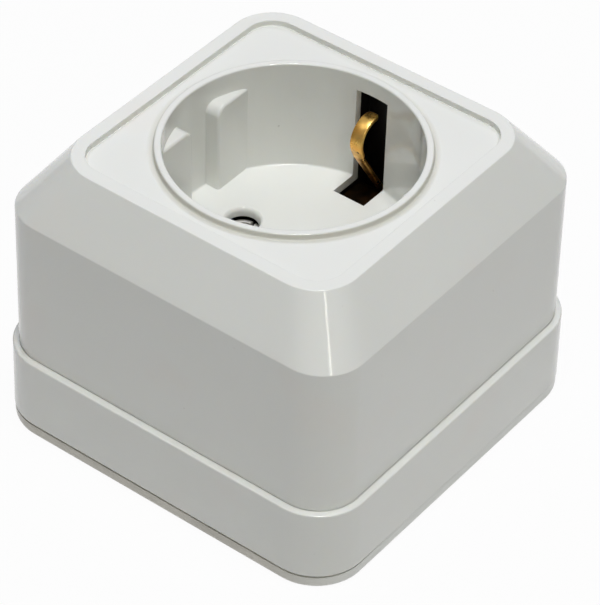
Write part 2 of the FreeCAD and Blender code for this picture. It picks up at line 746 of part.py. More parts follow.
def make_earth_bridge():
    middle = size("strap_middle")
    level = size("groove_level + strap_sheet / 2")
    foot = size("rivet_level - clip_foot")
    sheet_size = size("strap_sheet")
    bend = size("strap_bend")
    width = FreeCAD.Vector(2 * size("strap_half"), 0, 0)
    spots = [FreeCAD.Vector(0, y, z) for y, z in
             ((-middle, foot), (-middle, level), (middle, level), (middle, foot))]
    bridge = strip(spots, (bend, bend), sheet_size, width)

    # The arm leaves the strap sideways, drops to the shelf and holds the earth terminal.
    y = -size("earth_terminal_y")
    reach = size("earth_terminal_x")
    half = size("strap_half")
    drop = size("earth_terminal_x - washer_room_half - strap_sheet")
    shelf = size("shelf_level + strap_sheet / 2")
    arm_spots = [FreeCAD.Vector(x, y, z) for x, z in
                 ((0, level), (drop, level), (drop, shelf), (reach + half, shelf))]
    arm = strip(arm_spots, (sheet_size, sheet_size), sheet_size, FreeCAD.Vector(0, 2 * half, 0))
    bridge = bridge.fuse(arm)
    thread = size("terminal_shank + thread_gap")
    bridge = bridge.cut(cylinder(thread, sheet_size, reach, y, size("shelf_level")))
    bridge = bridge.cut(cylinder(size("cover_shank + thread_gap"), sheet_size, 0, 0, size("groove_level")))
    hole = size("rivet_half + rivet_fit")
    rivet = size("rivet_level")
    bridge = bridge.cut(slab(-hole, hole, -2 * middle, 2 * middle, rivet - hole, rivet + hole))
    solid_piece("earth_bridge", single(bridge))


def make_earth_clip(side, tag):
    """A springy clip: a riveted root, a slanting leg and a hook that meets the plug."""
    root = size("clip_root_reach")
    level = size("rivet_level")
    foot = level - size("clip_foot")
    path = [(root, foot), (root, size("clip_bend_level")),
            (size("clip_knee_reach"), size("clip_knee_level")),
            (size("clip_nose_reach"), size("clip_tip_level")),
            (size("clip_tip_reach"), size("clip_tip_level"))]
    rounds = (size("clip_bend_round"), size("clip_knee_round"), size("clip_hook_round"))
    spots = [FreeCAD.Vector(0, side * y, z) for y, z in path]
    root_half = size("clip_root_half")
    leg_half = size("clip_leg_half")
    hook_half = size("clip_hook_half")
    sheet_size = size("clip_sheet")
    blank = strip(spots, rounds, sheet_size, FreeCAD.Vector(2 * root_half, 0, 0))
    tip_level = size("clip_tip_level") + sheet_size
    knee = size("clip_knee_level")
    neck = size("clip_bend_level")
    front = [(root_half, foot), (root_half, neck - 2 * root_half + leg_half), (leg_half, neck),
             (leg_half, knee - leg_half), (hook_half, knee + hook_half), (hook_half, tip_level)]
    corners = [FreeCAD.Vector(x, 0, z) for x, z in front]
    corners += [FreeCAD.Vector(-x, 0, z) for x, z in reversed(front)]
    mask = Part.Face(Part.makePolygon(corners + corners[:1]))
    mask.translate(FreeCAD.Vector(0, -2 * root, 0))
    clip = single(blank.common(mask.extrude(FreeCAD.Vector(0, 4 * root, 0))))
    tip = side * size("clip_tip_reach")
    ends = [e for e in clip.Edges if abs(e.BoundBox.YMin - tip) < 0.01 and abs(e.BoundBox.YMax - tip) < 0.01
            and e.BoundBox.ZLength > sheet_size / 2]
    clip = clip.makeFillet(size("clip_tip_round"), ends)
    shank = size("rivet_half")
    clip = clip.cut(slab(-shank, shank, -2 * root, 2 * root, level - shank, level + shank))
    solid_piece("earth_clip_" + tag, single(clip))

    # The rivet's square shank keeps the clip from turning on the strap.
    head = size("rivet_head")
    height = size("rivet_head_height")
    head_start = side * (root + sheet_size / 2)
    shank_y = sorted([side * size("carrier_flat + strap_gap + rivet_sink"), head_start])
    rivet = slab(-shank, shank, shank_y[0], shank_y[1], level - shank, level + shank)
    rivet = rivet.fuse(cylinder(head, height, 0, head_start, level, FreeCAD.Vector(0, side, 0)))
    solid_piece("earth_rivet_" + tag, single(rivet))


def make_cover_screw():
    shank = size("cover_shank")
    head = size("cover_head")
    top = size("well_level - cover_screw_sink")
    cone_foot = top - head + shank
    length = size("cover_screw_length")
    screw = Part.makeCone(shank, head, head - shank, FreeCAD.Vector(0, 0, cone_foot))
    screw = screw.fuse(cylinder(shank, length - head + shank, 0, 0, top - length))
    half = size("screw_slot_width") / 2
    screw = screw.cut(slab(-head, head, -half, half, top - size("screw_slot_depth"), top))
    solid_piece("cover_screw", single(screw))
    sheet_size = size("captive_sheet")
    level = size("strap_top + captive_gap")
    washer = tube(size("captive_radius"), shank, 0, level, level + sheet_size)
    solid_piece("cover_screw_washer", single(washer))


def make_mechanism_screws():
    seat = size("holder_seat")
    end = size("post_top - holder_bite")
    screws = []
    for side in (-1, 1):
        spot = side * size("post_reach")
        shank = cylinder(size("holder_shank"), seat - end, spot, spot, end)
        screws.append(single(shank.fuse(
            slotted_head(size("holder_head"), size("holder_head_height"), spot, spot, seat))))
    solid_piece("mechanism_screws", Part.makeCompound(screws))


make_cover()
make_base_plate()
make_carrier()
make_insulating_plate()
doc.recompute()
for side, pole in ((-1, "line"), (1, "neutral")):
    make_jaws(side, pole)
    make_terminal(pole, side * size("terminal_reach"), 0, size("washer_foot"))
make_terminal("earth", size("earth_terminal_x"), -size("earth_terminal_y"), size("earth_washer_foot"))
make_earth_bridge()
for side, tag in ((1, "upper"), (-1, "lower")):
    make_earth_clip(side, tag)
make_cover_screw()
make_mechanism_screws()
doc.recompute()

# Write one file for each piece.
troubled = [o.Name for o in doc.Objects if "Invalid" in o.State or "Error" in o.State]
if troubled:
    raise RuntimeError("features that failed: " + ", ".join(troubled))
os.makedirs("parts", exist_ok=True)
for piece in pieces:
    shape = piece.Shape
    if shape.isNull() or not shape.isValid():
        raise RuntimeError(piece.Label + " has no valid shape")
    shape.exportStep(f"parts/{piece.Label}.step")
    print(piece.Label, len(shape.Solids), "solids", round(shape.Volume, 1), "mm3")
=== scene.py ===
# %% [markdown]
# # A surface-mounted socket outlet
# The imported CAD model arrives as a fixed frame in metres, with every piece where it belongs. It could
# be rendered as it is, but a moulded hood lives from its fine roundings and brass from its wear. So
# every piece stays in place here, and this file adds finer skins, finishes, light and a camera. Sizes
# are written in millimetres and become metres where a mesh is made.

import json
import math

import bmesh
import bpy
import numpy as np
from mathutils import Matrix, Vector


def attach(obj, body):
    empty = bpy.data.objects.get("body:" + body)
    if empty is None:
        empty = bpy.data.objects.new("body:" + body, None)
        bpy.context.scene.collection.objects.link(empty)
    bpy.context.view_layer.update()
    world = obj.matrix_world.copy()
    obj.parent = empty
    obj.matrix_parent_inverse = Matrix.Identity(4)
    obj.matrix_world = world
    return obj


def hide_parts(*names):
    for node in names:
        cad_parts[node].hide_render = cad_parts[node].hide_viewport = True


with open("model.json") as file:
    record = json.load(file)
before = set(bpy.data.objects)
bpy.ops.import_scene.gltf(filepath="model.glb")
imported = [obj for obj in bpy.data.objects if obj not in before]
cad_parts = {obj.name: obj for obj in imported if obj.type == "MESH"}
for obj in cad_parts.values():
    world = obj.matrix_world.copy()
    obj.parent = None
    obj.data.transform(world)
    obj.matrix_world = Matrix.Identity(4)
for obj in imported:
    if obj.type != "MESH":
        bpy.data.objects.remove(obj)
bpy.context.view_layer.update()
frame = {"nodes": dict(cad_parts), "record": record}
nodes = frame["nodes"]
MM = 0.001
print("pieces in the frame:", len(nodes))

# %% [markdown]
# The camera repeats the view of the photo. It could be placed by eye, but the straight edges of the
# socket tell its distance, turn and tilt, so it is built from those and a small roll. Its long lens
# keeps the upright edges nearly parallel, as is usual for pictures of small products.

# %% Camera
CAMERA_TARGET = Vector((-2.07, 5.39, 14.13)) * MM
CAMERA_DISTANCE = 507.7 * MM
CAMERA_AZIMUTH = math.radians(36.75)
CAMERA_ELEVATION = math.radians(41.25)
CAMERA_ROLL = math.radians(1.69)
CAMERA_LENS = 191.98
SENSOR_HEIGHT = 36.0
CLIP_START = 0.01


def aim_camera():
    """A camera that looks at the target, with its axes as the columns of its matrix."""
    flat, rise = math.cos(CAMERA_ELEVATION), math.sin(CAMERA_ELEVATION)
    back = Vector((math.sin(CAMERA_AZIMUTH) * flat, -math.cos(CAMERA_AZIMUTH) * flat, rise))
    level_right = Vector((math.cos(CAMERA_AZIMUTH), math.sin(CAMERA_AZIMUTH), 0))
    level_up = back.cross(level_right)
    right = level_right * math.cos(CAMERA_ROLL) + level_up * math.sin(CAMERA_ROLL)
    up = level_up * math.cos(CAMERA_ROLL) - level_right * math.sin(CAMERA_ROLL)
    data = bpy.data.cameras.new("camera")
    data.sensor_fit = "VERTICAL"
    data.sensor_height = SENSOR_HEIGHT
    data.lens = CAMERA_LENS
    data.clip_start = CLIP_START
    camera = bpy.data.objects.new("camera", data)
    bpy.context.scene.collection.objects.link(camera)
    place = CAMERA_TARGET + back * CAMERA_DISTANCE
    camera.matrix_world = Matrix.Translation(place) @ Matrix((right, up, back)).transposed().to_4x4()
    bpy.context.scene.camera = camera
    return camera


camera = aim_camera()
print("camera at", [round(v / MM, 1) for v in camera.matrix_world.translation], "mm")

# %% [markdown]
# The hood is square outside and round in its well. Two separate shapes could be joined, but a square
# with round corners turns into a circle when its corner grows as large as its half width. So rings
# of that one family, all on the same rays, form a single net without a seam. More rays go to the
# corners, where the outline bends most.

# %% Rays and rings
SIDE_STEPS = 16
CORNER_STEPS = 20
CORNER_START = 36


def ring_angles():
    """Angles round the object, closer together at the round corners."""
    stops = [0, CORNER_START, 90 - CORNER_START, 90]
    steps = [SIDE_STEPS, CORNER_STEPS, SIDE_STEPS]
    runs = [np.linspace(a, b, n, endpoint=False) for a, b, n in zip(stops, stops[1:], steps)]
    quarter = np.concatenate(runs)
    return np.radians(np.concatenate([quarter + 90 * turn for turn in range(4)]))


ANGLES = ring_angles()


def ring_points(half, corner, level):
    """Points of a round-cornered square at one level."""
    folded = ANGLES % (math.pi / 2)
    folded = np.minimum(folded, math.pi / 2 - folded)
    inner = half - corner
    along = (np.cos(folded) + np.sin(folded)) * inner
    bend = along + np.sqrt(np.maximum(along ** 2 - 2 * inner ** 2 + corner ** 2, 0))
    reach = np.where(half * np.tan(folded) <= inner, half / np.cos(folded), bend)
    height = np.full(len(ANGLES), level)
    return np.stack([reach * np.cos(ANGLES), reach * np.sin(ANGLES), height], axis=1)


print("rays round the object:", len(ANGLES))

# %% [markdown]
# The hood's wall is drawn as one closed profile, from the well over the rim and down the skirt, and
# back along the inside. Each row is half width, corner radius, level and fillet. A bevel modifier
# could round the edges, but a fillet written at each row keeps every edge at its own size: a soft
# shoulder, a crisp rim and a fine groove above the ledge.

# %% Section of the hood
FILLET_STEPS = 6
WELL_FLOOR = 30.7
FLOOR_UNDER = 29.2
RIM_LEVEL = 50.25
PANEL_LEVEL = 49.4
SHOULDER_LEVEL = 41.6
LEDGE_LEVEL = 14.94
SKIRT_FOOT = 2.47
INNER_TOP = 47.4
INNER_STEP = 13.94
TUBE_RADIUS = 20.95
PANEL_HALF = 23.36
WELL = [(3.6, 3.6, WELL_FLOOR, 0.1), (19.6, 19.6, WELL_FLOOR, 0.35), (19.75, 19.75, RIM_LEVEL, 0.3)]
COLLAR = [
    (20.9, 20.9, RIM_LEVEL, 0.3),
    (21.0, 21.0, PANEL_LEVEL - 0.2, 0.32),
    (21.9, 21.9, PANEL_LEVEL, 0.8),
]
PANEL_AND_RIM = [
    (22.95, 4.2, PANEL_LEVEL, 0.1),
    (PANEL_HALF, 4.6, PANEL_LEVEL - 0.22, 0.06),
    (PANEL_HALF, 4.6, RIM_LEVEL, 0.12),
    (25.62, 7.2, RIM_LEVEL, 0.25),
]
OUTER_WALL = [
    (31.73, 7.4, SHOULDER_LEVEL, 0.4),
    (31.9, 7.4, 15.5, 0.15),
    (31.76, 7.3, 15.02, 0.03),
    (31.84, 7.4, LEDGE_LEVEL, 0.03),
]
SKIRT = [(32.96, 8.6, LEDGE_LEVEL, 0.26), (33.06, 8.6, SKIRT_FOOT, 0.16), (31.06, 6.6, SKIRT_FOOT, 0.15)]
INSIDE = [
    (30.94, 6.6, INNER_STEP, 0),
    (29.92, 5.4, INNER_STEP, 0),
    (29.73, 5.4, 40.965, 0),
    (25.18, 5.2, INNER_TOP, 0),
    (TUBE_RADIUS, TUBE_RADIUS, INNER_TOP, 0),
    (TUBE_RADIUS, TUBE_RADIUS, FLOOR_UNDER, 0.2),
    (2.04, 2.04, FLOOR_UNDER, 0),
]
HOOD_PROFILE = WELL + COLLAR + PANEL_AND_RIM + OUTER_WALL + SKIRT + INSIDE


def soften(profile):
    """Round a closed profile of (half, corner, level, fillet); the rows are (half, level, corner)."""
    rows = []
    spots = [np.array((half, level, corner)) for half, corner, level, _ in profile]
    for i, (*_, fillet) in enumerate(profile):
        here, before, after = spots[i], spots[i - 1], spots[(i + 1) % len(spots)]
        if fillet == 0:
            rows.append(here)
            continue
        back = (before - here) / math.hypot(*(before - here)[:2])
        ahead = (after - here) / math.hypot(*(after - here)[:2])
        cosine = float(np.clip(back[:2] @ ahead[:2], -1, 1))
        reach = fillet / math.tan(math.acos(cosine) / 2)
        start, stop = here + back * reach, here + ahead * reach
        for s in np.linspace(0, 1, FILLET_STEPS):
            rows.append((1 - s) ** 2 * start + 2 * s * (1 - s) * here + s ** 2 * stop)
    return rows


hood_rows = soften(HOOD_PROFILE)
print("rings of the hood:", len(hood_rows), "from", len(HOOD_PROFILE), "corners")

# %% [markdown]
# Now the rings become a mesh. Blender could also spin or loft a curve, but plain lists of points and
# quads keep each ring exactly where the section puts it. Blender then works out which way each face
# looks, so that the order of the points doesn't matter.

# %% Hood shell


def mesh_piece(name, points, faces, smooth=True):
    """An object from points in millimetres, its faces turned outwards."""
    mesh = bpy.data.meshes.new(name)
    mesh.from_pydata([tuple(float(v) * MM for v in p) for p in points], [], [tuple(f) for f in faces])
    shape = bmesh.new()
    shape.from_mesh(mesh)
    bmesh.ops.recalc_face_normals(shape, faces=shape.faces)
    shape.to_mesh(mesh)
    shape.free()
    mesh.polygons.foreach_set("use_smooth", [smooth] * len(mesh.polygons))
    piece = bpy.data.objects.new(name, mesh)
    bpy.context.scene.collection.objects.link(piece)
    return piece


def sweep_rings(name, rings, closed):
    """Join equally long rings by quads; closed also joins the last ring to the first."""
    count = len(rings[0])
    faces = []
    for i in range(len(rings) if closed else len(rings) - 1):
        low, high = i * count, (i + 1) % len(rings) * count
        for j in range(count):
            k = (j + 1) % count
            faces.append((low + j, low + k, high + k, high + j))
    if not closed:
        last = (len(rings) - 1) * count
        faces += [tuple(range(count)), tuple(range(last, last + count))]
    return mesh_piece(name, np.concatenate(rings), faces)


hood_rings = [ring_points(half, corner, level) for half, level, corner in hood_rows]
hood = sweep_rings("hood_shell", hood_rings, closed=True)
print("hood net:", len(hood.data.vertices), "points")

# %% [markdown]
# Four ribs in the well, two at each side, guide the body of the plug. Each is a bar with a flat
# face, a rounded upper corner and small roundings all over. It could be modelled onto the net by
# hand, but a side view pushed along X is exact, and one outline mirrored by a sign serves all four.

# %% Guide ribs
RIB_FACE = 16.85
RIB_BACK = 20.6
RIB_END = 3.1
RIB_FAR_END = 10.6
RIB_FOOT = 30.0
RIB_TOP = 46.5
RIB_ROUND = 1.9
RIB_BOW_POINTS = 9
RIB_EDGE = 0.5
SIDES = (-1, 1)


def rib_outline(end):
    """The side view of a guide rib, its top edge rounded off towards its end."""
    bow = []
    for a in np.linspace(0, math.pi / 2, RIB_BOW_POINTS):
        along = end * (RIB_END + RIB_ROUND * (1 - math.sin(a)))
        bow.append((along, RIB_TOP - RIB_ROUND * (1 - math.cos(a))))
    far_end = end * RIB_FAR_END
    return [(far_end, RIB_FOOT), (far_end, RIB_TOP)] + bow + [(end * RIB_END, RIB_FOOT)]


def prism(name, outline, axis, low, high):
    """Push a flat outline along X or Z."""
    order = {"X": (2, 0, 1), "Z": (0, 1, 2)}[axis]
    points = [np.array((u, v, level))[list(order)] for level in (low, high) for u, v in outline]
    count = len(outline)
    faces = [tuple(range(count)), tuple(range(count, 2 * count))]
    faces += [(i, (i + 1) % count, count + (i + 1) % count, count + i) for i in range(count)]
    return mesh_piece(name, points, faces, smooth=False)


def settle_modifier(piece, modifier):
    """Make a modifier's result the mesh of its piece."""
    seen = piece.evaluated_get(bpy.context.evaluated_depsgraph_get())
    result = bpy.data.meshes.new_from_object(seen)
    piece.modifiers.remove(modifier)
    piece.data = result


def round_edges(piece, width, segments=3):
    """Bevel every edge of a piece that is sharper than 30 degrees."""
    modifier = piece.modifiers.new("round", "BEVEL")
    modifier.width = width * MM
    modifier.segments = segments
    modifier.limit_method = "ANGLE"
    settle_modifier(piece, modifier)


ribs = []
for side in SIDES:
    for end in SIDES:
        rib = prism("rib", rib_outline(end), "X", side * RIB_FACE, side * RIB_BACK)
        round_edges(rib, RIB_EDGE)
        ribs.append(rib)
print("guide ribs:", len(ribs), "with", len(ribs[0].data.polygons), "faces each")

# %% [markdown]
# A rib grows out of the round wall, so its back has to follow the wall. Each bar is first cut to a
# cylinder that ends inside the wall, and is then joined to the hood. Pieces that merely overlap
# would keep hidden faces inside each other. Exact booleans leave one skin and a clean meeting line.

# %% Ribs in the well
WALL_MIDDLE = [(20.4, 29.9), (20.4, 47.0)]
WALL_STEPS = 96


def combine(target, tool, operation):
    """Apply one exact boolean to the target and remove its tool."""
    modifier = target.modifiers.new("boolean", "BOOLEAN")
    modifier.operation = operation
    modifier.solver = "EXACT"
    modifier.object = tool
    settle_modifier(target, modifier)
    bpy.data.objects.remove(tool)


def lathe(name, profile, x, y, steps=48):
    """Turn (radius, level) points once round a vertical line."""
    turns = np.linspace(0, 2 * math.pi, steps, endpoint=False)
    rings = [[(x + r * math.cos(a), y + r * math.sin(a), z) for a in turns] for r, z in profile]
    return sweep_rings(name, rings, closed=False)


for rib in ribs:
    combine(rib, lathe("well_tube", WALL_MIDDLE, 0, 0, WALL_STEPS), "INTERSECT")
    combine(hood, rib, "UNION")
print("hood with its ribs:", len(hood.data.polygons), "faces")

# %% [markdown]
# The well has two windows for the earth clips and two holes for the pins, each hole with a rounded
# lead at its mouth. The far skirt wall has a thin patch that an installer breaks out for a cable
# on the wall. A dark patch on the skin could pass for a hole from afar, but not from close by, so
# all are cut out of the net by solids of their shape, and the walls show their real thickness.

# %% Windows, pin holes and knock-out
WINDOW_HALF = 2.95
WINDOW_FRONT = 14.4
WINDOW_BACK = 24.3
WINDOW_UNDER = 27.0
PIN_REACH = 9.5
PIN_HOLE = [(2.58, 27.0), (2.58, 29.25), (2.66, 30.05), (2.76, 30.36), (2.92, 30.58), (3.14, 30.72)]
KNOCKOUT_HALF = 6
KNOCKOUT_TOP = 13.0
KNOCKOUT_FOOT = 1.0
KNOCKOUT_DEPTH = (28.0, 32.22)


def box_outline(u_low, u_high, v_low, v_high):
    return [(u_low, v_low), (u_high, v_low), (u_high, v_high), (u_low, v_high)]


for side in SIDES:
    window = box_outline(-WINDOW_HALF, WINDOW_HALF, side * WINDOW_FRONT, side * WINDOW_BACK)
    combine(hood, prism("window", window, "Z", WINDOW_UNDER, INNER_TOP), "DIFFERENCE")
    combine(hood, lathe("pin_hole", PIN_HOLE, side * PIN_REACH, 0), "DIFFERENCE")
patch = box_outline(-KNOCKOUT_HALF, KNOCKOUT_HALF, *KNOCKOUT_DEPTH)
combine(hood, prism("knockout", patch, "Z", KNOCKOUT_FOOT, KNOCKOUT_TOP), "DIFFERENCE")
print("hood after the cuts:", len(hood.data.polygons), "faces")

# %% [markdown]
# Smooth shading blends the direction of neighbouring faces. On a large flat face beside a narrow
# rounding that leaves a false gradient. Flat shading would show every facet instead, so the hood is
# smooth, its sharp angles are marked, and weighted normals give the large faces the greater say.
# The skin then takes the place of the CAD cover and moves with the hood.

# %% Shading of the hood
SHARP_ANGLE = math.radians(32)
hood.data.polygons.foreach_set("use_smooth", [True] * len(hood.data.polygons))
hood.data.set_sharp_from_angle(angle=SHARP_ANGLE)
flats = hood.modifiers.new("flats", "WEIGHTED_NORMAL")
flats.keep_sharp = True
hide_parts("cover")
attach(hood, "hood")
print("hood modifiers:", [modifier.name for modifier in hood.modifiers])

# %% [markdown]
# The wall plate's edge stands flush with the skirt and is rounded at its foot. On the right the hood
# has settled onto the plate, so the dark gap between the two closes there. The whole plate could be
# remade for that, but a thin bead of four corners, laid round the CAD plate, is all that shows.

# %% Plate edge
PLATE_PROFILE = [
    (31.6, 7.1, 0.05, 0),
    (32.95, 8.5, 0.0, 0.8),
    (32.98, 8.5, 2.12, 0.08),
    (31.6, 7.1, 2.12, 0),
]
GAP_CLOSED = 0.34
GAP_TURNS = [-43, -27, 50, 80]
GAP_SHARES = [0, 1, 1, 0]
BEAD_MIDDLE = 1.5


def close_gap(points):
    """Lift the upper part of a ring on the right-hand side, where the gap closes."""
    turn = np.degrees(np.arctan2(points[:, 1], points[:, 0]))
    rise = np.interp(turn, GAP_TURNS, GAP_SHARES)
    lifted = points.copy()
    lifted[:, 2] += np.where(points[:, 2] > BEAD_MIDDLE, GAP_CLOSED * rise, 0)
    return lifted


plate_rings = [close_gap(ring_points(half, corner, level)) for half, level, corner in soften(PLATE_PROFILE)]
plate_edge = sweep_rings("plate_edge", plate_rings, closed=True)
plate_edge.data.set_sharp_from_angle(angle=SHARP_ANGLE)
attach(plate_edge, "base")
print("plate edge:", len(plate_edge.data.polygons), "faces")

# %% [markdown]
# Each earth clip is a brass strip that rises from its rivet, leans into the well and hooks back over
# its head. Its middle line is a few straight runs in the YZ plane. A smooth curve with handles could
# bend them, but a press bends a strip round a punch, so each corner gets an arc of known radius.

# %% Middle line of the clips
CLIP_PATH = [(23.1, 18.3), (23.1, 27.2), (16.8, 37.4), (14.5, 43.6), (20.6, 43.6)]
CLIP_BENDS = [2.0, 1.5, 3.3]
CLIP_STEP = 0.14


def bent_line(spots, bends, step):
    """Points along straight runs that are joined by arcs."""
    spots = [np.array(p, float) for p in spots]
    line = [spots[0]]
    for before, here, after, bend in zip(spots, spots[1:], spots[2:], bends):
        back = (before - here) / np.linalg.norm(before - here)
        ahead = (after - here) / np.linalg.norm(after - here)
        half_turn = math.acos(float(back @ ahead)) / 2
        reach = bend / math.tan(half_turn)
        middle = here + (back + ahead) / np.linalg.norm(back + ahead) * (bend / math.sin(half_turn))
        start, stop = here + back * reach - middle, here + ahead * reach - middle
        sweep = math.acos(float(np.clip(start @ stop / bend ** 2, -1, 1)))
        for s in np.linspace(0, 1, max(3, int(sweep * bend / step) + 2)):
            swung = start * math.sin((1 - s) * sweep) + stop * math.sin(s * sweep)
            line.append(middle + swung / math.sin(sweep))
    line.append(spots[-1])
    dense = [line[0]]
    for a, b in zip(line, line[1:]):
        pieces = max(1, int(np.linalg.norm(b - a) / step))
        dense += [a + (b - a) * (i + 1) / pieces for i in range(pieces)]
    return dense


clip_line = bent_line(CLIP_PATH, CLIP_BENDS, CLIP_STEP)
clip_steps = [np.linalg.norm(b - a) for a, b in zip(clip_line, clip_line[1:])]
clip_lengths = np.concatenate([[0], np.cumsum(clip_steps)])
print("length of a clip:", round(float(clip_lengths[-1]), 1), "mm in", len(clip_line), "points")

# %% [markdown]
# The strip narrows from its wide root to a slim leg, widens again at the hook and ends in a round
# tip. On a curve with a bevel profile the thickness would shrink along with the width, so instead
# a section with rounded edges is set across the line at every point, and the rings are joined.

# %% Earth clips
CLIP_SHEET = 0.7
CLIP_EDGE = 0.2
CLIP_TIP_ROUND = 0.42
TIP_WIDTH_LEFT = 0.02
TIP_SHEET_LEFT = 0.1
CLIP_LEVELS = [22.4, 27.2, 36.6, 38.5]
CLIP_HALVES = [2.8, 0.85, 0.85, 1.12]
CLIP_SHARP = math.radians(60)
CORNERS = ((1, 1), (-1, 1), (-1, -1), (1, -1))


def clip_size(level, left):
    """Half width and thickness at a level, with left the length that remains to the tip."""
    half = float(np.interp(level, CLIP_LEVELS, CLIP_HALVES))
    if left < half:
        half *= math.sqrt(max(1 - (1 - left / half) ** 2, TIP_WIDTH_LEFT))
    thinned = 1 - max(1 - left / CLIP_TIP_ROUND, 0) ** 2
    return half, CLIP_SHEET * math.sqrt(max(thinned, TIP_SHEET_LEFT))


def clip_section(half, thickness):
    """A rectangle with round corners, smaller ones at the tip, as (across, through) pairs."""
    edge = min(CLIP_EDGE, half * 0.9, thickness * 0.45)
    pairs = []
    for quarter, (sx, sy) in enumerate(CORNERS):
        for s in (0, 0.5, 1):
            angle = (quarter + s) * math.pi / 2
            across = sx * (half - edge) + edge * math.cos(angle)
            pairs.append((across, sy * (thickness / 2 - edge) + edge * math.sin(angle)))
    return pairs


def make_clip(name, side):
    rings = []
    for i, (y, z) in enumerate(clip_line):
        ahead = clip_line[min(i + 1, len(clip_line) - 1)] - clip_line[max(i - 1, 0)]
        ahead = ahead / np.linalg.norm(ahead)
        section = clip_section(*clip_size(z, clip_lengths[-1] - clip_lengths[i]))
        rings.append([(u, side * (y - ahead[1] * v), z + ahead[0] * v) for u, v in section])
    clip = sweep_rings(name, rings, closed=False)
    clip.data.set_sharp_from_angle(angle=CLIP_SHARP)
    return clip


clips = []
for side, tag in ((1, "upper"), (-1, "lower")):
    clip = make_clip(f"clip_{tag}", side)
    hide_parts(f"earth_clip_{tag}")
    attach(clip, f"{tag}_clip")
    clips.append(clip)
print("clips:", [clip.name for clip in clips], "with", len(clips[0].data.polygons), "faces each")

# %% [markdown]
# No real surface has one colour and one gloss. Photographed textures could bring the variation, but
# they need a layout for every piece, so each finish is built from noise in the piece's own space.
# This class holds the few nodes that all finishes share: noise, a ramp from noise to colours, a
# change of range, a mix, and a fine bump over edges that a Bevel node rounds a little.

# %% Nodes of a finish
BEVEL_SAMPLES = 6


def tone(*srgb):
    """Linear colour of 8-bit display values."""
    parts = [v / 255 for v in srgb]
    return tuple(p / 12.92 if p <= 0.04045 else ((p + 0.055) / 1.055) ** 2.4 for p in parts)


class Finish:
    """A material with short helpers for its nodes."""

    def __init__(self, name, roughness, metallic=0.0):
        self.material = bpy.data.materials.new(name)
        self.material.use_nodes = True
        self.tree = self.material.node_tree
        self.shader = self.tree.nodes["Principled BSDF"]
        self.shader.inputs["Metallic"].default_value = metallic
        self.shader.inputs["Roughness"].default_value = roughness
        self.place = self.tree.nodes.new("ShaderNodeTexCoord").outputs["Object"]

    def link(self, source, target):
        self.tree.links.new(source, target)

    def noise(self, scale, detail=2.0, stretch=None):
        """Noise with scale given in waves per metre."""
        node = self.tree.nodes.new("ShaderNodeTexNoise")
        node.inputs["Scale"].default_value = scale
        node.inputs["Detail"].default_value = detail
        place = self.place
        if stretch:
            mapping = self.tree.nodes.new("ShaderNodeMapping")
            mapping.inputs["Scale"].default_value = stretch
            self.link(place, mapping.inputs["Vector"])
            place = mapping.outputs["Vector"]
        self.link(place, node.inputs["Vector"])
        return node.outputs["Fac"]

    def ramp(self, value, low, dark, high, light):
        """Turn a value into a colour between two linear colours."""
        node = self.tree.nodes.new("ShaderNodeValToRGB")
        for element, position, colour in zip(node.color_ramp.elements, (low, high), (dark, light)):
            element.position = position
            element.color = (*colour, 1.0)
        self.link(value, node.inputs["Fac"])
        return node.outputs["Color"]

    def spread(self, value, low, high, from_low=0.3, from_high=0.7):
        """Move a value from one range to another and hold it at the ends."""
        node = self.tree.nodes.new("ShaderNodeMapRange")
        names = ("From Min", "From Max", "To Min", "To Max")
        for name, number in zip(names, (from_low, from_high, low, high)):
            node.inputs[name].default_value = number
        self.link(value, node.inputs["Value"])
        return node.outputs["Result"]

    def mix(self, factor, first, second):
        """The first colour at factor 0 and the second at 1."""
        node = self.tree.nodes.new("ShaderNodeMix")
        node.data_type = "RGBA"
        self.link(factor, node.inputs[0])
        for socket, colour in ((node.inputs[6], first), (node.inputs[7], second)):
            if isinstance(colour, tuple):
                socket.default_value = (*colour, 1.0)
            else:
                self.link(colour, socket)
        return node.outputs[2]

    def feed(self, name, value):
        """Let a value drive one of the shader's sockets."""
        self.link(value, self.shader.inputs[name])

    def relief(self, height, distance, edge):
        """Fine bump, over edges rounded by edge millimetres."""
        bevel = self.tree.nodes.new("ShaderNodeBevel")
        bevel.samples = BEVEL_SAMPLES
        bevel.inputs["Radius"].default_value = edge * MM
        bump = self.tree.nodes.new("ShaderNodeBump")
        bump.inputs["Distance"].default_value = distance * MM
        bump.inputs["Strength"].default_value = 1.0
        self.link(height, bump.inputs["Height"])
        self.link(bevel.outputs["Normal"], bump.inputs["Normal"])
        self.feed("Normal", bump.outputs["Normal"])


finishes = {}
print("light grey 235 in linear light:", round(tone(235)[0], 3))

# %% [markdown]
# The hood is pressed from a grey-white plastic in a polished mould. A low roughness alone would make
# it look wet, so a duller body lies under a thin clear coat, and a little subsurface light softens
# the shadows in it. Broad clouds and a faint blush vary the colour, and rare specks are dirt. The
# foot of the collar gets painted shade, a darker ring in the colour, and a thinner coat there.

# %% Hood plastic
HOOD_DARK = tone(235, 236, 231)
HOOD_LIGHT = tone(238, 239, 234)
HOOD_BLUSH = tone(238, 231, 224)
HOOD_SPECK = tone(160, 153, 143)
# Painted shade at the foot of the collar: its colour, the thinner coat there, and the ring in mm from the
# middle.
FOOT_SHADE = tone(218, 217, 208)
HOOD_COAT = 0.9
FOOT_COAT = 0.1
FOOT_RING_FROM = (20.75, 20.9)
FOOT_RING_TO = (21.2, 22.0)
DEPTH_BY_COLOUR = (1.0, 0.8, 0.55)


def add_coat(finish, weight, roughness):
    """A thin clear skin, as a polished mould leaves it."""
    finish.shader.inputs["Coat Weight"].default_value = weight
    finish.shader.inputs["Coat Roughness"].default_value = roughness


